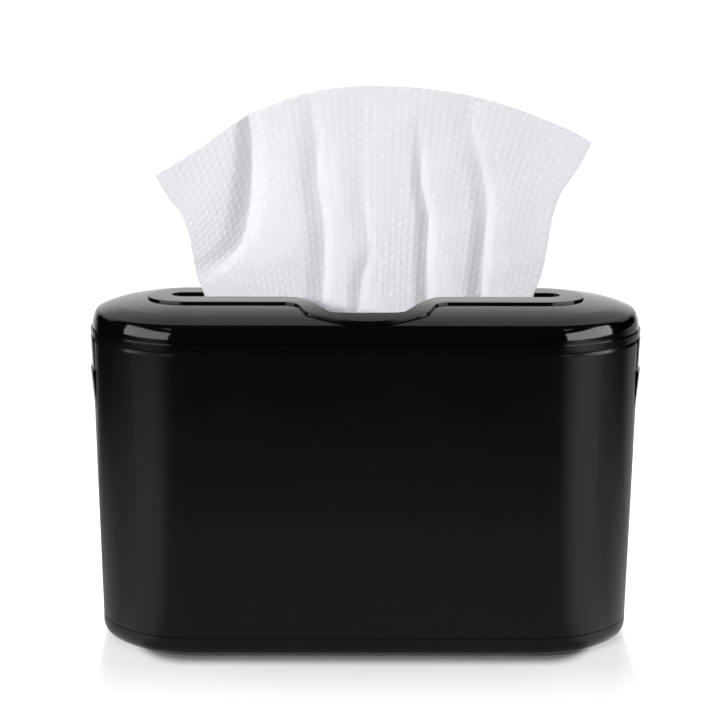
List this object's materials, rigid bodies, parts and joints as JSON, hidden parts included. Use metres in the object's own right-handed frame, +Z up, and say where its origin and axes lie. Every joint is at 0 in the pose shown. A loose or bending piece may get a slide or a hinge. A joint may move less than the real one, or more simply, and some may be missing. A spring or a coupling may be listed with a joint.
{
  "type": "paper towel dispenser",
  "caption": "Countertop dispenser for folded paper towels, with a glossy domed lid, a finger notch at its slot, end release tabs and a sprung platen.",
  "frame": {"origin": "middle of the resting surface, under the middle of the body", "axes": "+Z up, +X along the length, and the front with the finger notch faces -Y"},
  "size_m": [0.2852, 0.114, 0.2896],
  "materials": {
    "lid_gloss": "glossy black plastic",
    "panel_gloss": "glossy black plastic",
    "ring_satin": "glossy black plastic",
    "body_satin": "satin black plastic",
    "base_satin": "satin black plastic",
    "tab_satin": "satin black plastic",
    "inner_plastic": "plain black moulded plastic",
    "screw_steel": "zinc plated steel",
    "pin_steel": "ground steel",
    "spring_steel": "drawn steel wire",
    "bush_plastic": "natural acetal plastic",
    "foot_rubber": "soft black rubber",
    "paper": "white embossed paper"
  },
  "bodies": {
    "body": {"body_shell": "body_satin", "base_cap": "base_satin", "base_screws": "screw_steel", "foot_front_left": "foot_rubber", "foot_front_right": "foot_rubber", "foot_rear_left": "foot_rubber", "foot_rear_right": "foot_rubber", "end_guide_left": "inner_plastic", "end_guide_right": "inner_plastic", "guide_post_left": "pin_steel", "guide_post_right": "pin_steel", "post_cap_left": "bush_plastic", "post_cap_right": "bush_plastic", "lift_spring_left": "spring_steel", "lift_spring_right": "spring_steel"},
    "lid": {"lid_cover": "lid_gloss", "slot_panel": "panel_gloss", "rim_ring": "ring_satin", "stack_retainer": "inner_plastic", "lid_screws": "screw_steel", "tab_pin_left": "pin_steel", "tab_pin_right": "pin_steel"},
    "tab_left": {"release_tab_left": "tab_satin"},
    "tab_right": {"release_tab_right": "tab_satin"},
    "lift": {"platen": "inner_plastic", "platen_bush_left": "bush_plastic", "platen_bush_right": "bush_plastic", "towel_stack": "paper"},
    "towel": {"paper_towel": "paper"}
  },
  "joints": [
    {"name": "lid_lift", "type": "slide", "parent": "body", "child": "lid", "axis": [0, 0, 1], "range_m": [0, 0.1]},
    {"name": "towel_pull", "type": "slide", "parent": "lid", "child": "towel", "axis": [0, 0, 1], "range_m": [0, 0.1]},
    {"name": "tab_press_left", "type": "hinge", "parent": "lid", "child": "tab_left", "pos_m": [-0.1361, 0, 0.1562], "axis": [0, -1, 0], "range_deg": [0, 5], "stiffness_Nm_per_rad": 0.1, "springref_deg": -2.86},
    {"name": "tab_press_right", "type": "hinge", "parent": "lid", "child": "tab_right", "pos_m": [0.1361, 0, 0.1562], "axis": [0, 1, 0], "range_deg": [0, 5], "stiffness_Nm_per_rad": 0.1, "springref_deg": -2.86},
    {"name": "platen_press", "type": "slide", "parent": "body", "child": "lift", "axis": [0, 0, -1], "range_m": [0, 0.075], "stiffness_N_per_m": 150, "springref_m": -0.08, "deforming": ["lift_spring_left", "lift_spring_right"]}
  ]
}
